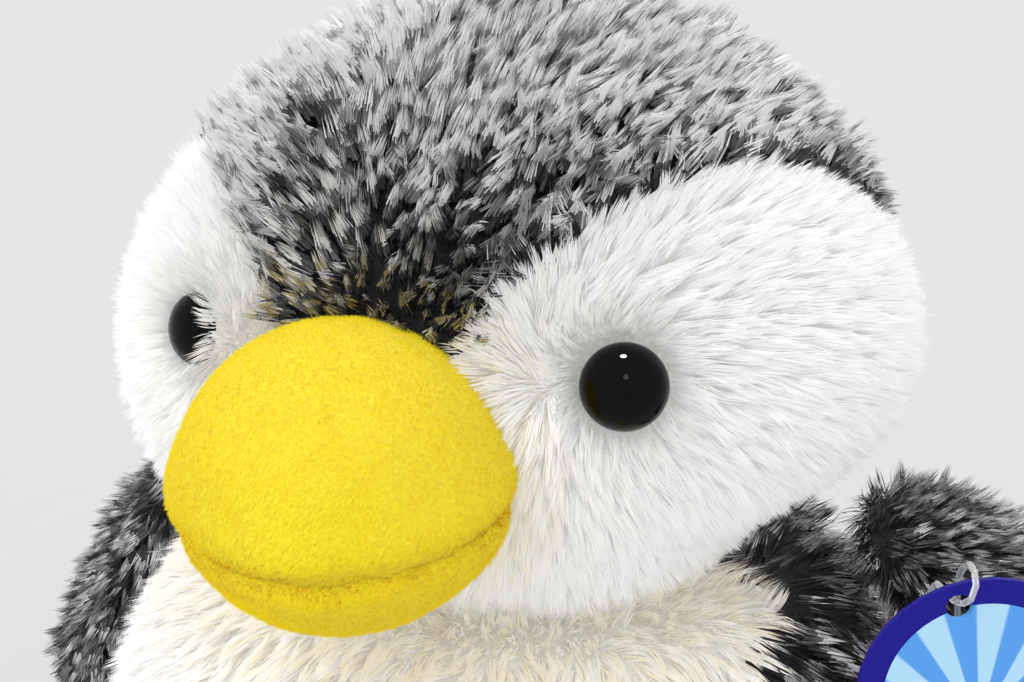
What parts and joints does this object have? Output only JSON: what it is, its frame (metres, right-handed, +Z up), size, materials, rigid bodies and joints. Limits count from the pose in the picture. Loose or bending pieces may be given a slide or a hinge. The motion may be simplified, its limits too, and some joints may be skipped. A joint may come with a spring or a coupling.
{
  "type": "plush penguin",
  "caption": "Stuffed long-pile plush penguin with a round yellow plush beak, domed eyes, padded flippers and feet, and a round hang tag.",
  "frame": {"origin": "middle of the flat base panel's underside, on the surface that the toy stands on", "axes": "+Z up, the beak points along -Y, +X is the toy's own left side"},
  "size_m": [0.2926, 0.2093, 0.265],
  "materials": {
    "frosted_plush": "long pile, dark roots and light tips",
    "white_plush": "medium pile",
    "yellow_plush": "short brushed pile",
    "fibre_fill": "loose polyester fibre",
    "pellet_cloth": "plain cotton bag of plastic pellets",
    "eye_plastic": "polished black",
    "washer_plastic": "moulded",
    "tag_card": "coated printed card",
    "clear_plastic": "clear filament",
    "satin_ribbon": "woven satin, blank"
  },
  "bodies": {
    "body": {"chest_panel": "white_plush", "back_panel_left": "frosted_plush", "back_panel_right": "frosted_plush", "base_panel": "frosted_plush", "pellet_bag": "pellet_cloth", "body_stuffing": "fibre_fill", "tail": "frosted_plush", "care_label": "satin_ribbon"},
    "head": {"head_crown": "frosted_plush", "face_panel_left": "white_plush", "face_panel_right": "white_plush", "beak_upper": "yellow_plush", "beak_lower": "yellow_plush", "beak_stuffing": "fibre_fill", "eye_left": "eye_plastic", "eye_right": "eye_plastic", "eye_washer_left": "washer_plastic", "eye_washer_right": "washer_plastic", "head_stuffing": "fibre_fill"},
    "flipper_left": {"flipper_left_outer": "frosted_plush", "flipper_left_lining": "frosted_plush", "flipper_left_stuffing": "fibre_fill", "tag_loop": "clear_plastic"},
    "flipper_right": {"flipper_right_outer": "frosted_plush", "flipper_right_lining": "frosted_plush", "flipper_right_stuffing": "fibre_fill"},
    "foot_left": {"foot_left_top": "yellow_plush", "foot_left_sole": "yellow_plush", "foot_left_stuffing": "fibre_fill"},
    "foot_right": {"foot_right_top": "yellow_plush", "foot_right_sole": "yellow_plush", "foot_right_stuffing": "fibre_fill"},
    "tag": {"hang_tag": "tag_card"}
  },
  "joints": [
    {"name": "head_turn", "type": "hinge", "parent": "body", "child": "head", "pos_m": [0, 0, 0.163], "axis": [0, 0, 1], "range_deg": [-15, 15], "stiffness_Nm_per_rad": 0.05},
    {"name": "flipper_left_raise", "type": "hinge", "parent": "body", "child": "flipper_left", "pos_m": [0.078, 0.008, 0.169], "axis": [0, -1, 0], "range_deg": [-30, 28], "stiffness_Nm_per_rad": 0.05},
    {"name": "flipper_right_raise", "type": "hinge", "parent": "body", "child": "flipper_right", "pos_m": [-0.078, 0.008, 0.169], "axis": [0, 1, 0], "range_deg": [-5, 52], "stiffness_Nm_per_rad": 0.05},
    {"name": "foot_left_lift", "type": "hinge", "parent": "body", "child": "foot_left", "pos_m": [0.034, -0.054, 0.004], "axis": [-0.9781, -0.2079, 0], "range_deg": [0, 15]},
    {"name": "foot_right_lift", "type": "hinge", "parent": "body", "child": "foot_right", "pos_m": [-0.034, -0.054, 0.004], "axis": [-0.9781, 0.2079, 0], "range_deg": [0, 15]},
    {"name": "tag_swing", "type": "hinge", "parent": "flipper_left", "child": "tag", "pos_m": [0.09294, -0.02915, 0.1755], "axis": [-0.9205, -0.3907, 0], "range_deg": [-3, 25]}
  ]
}
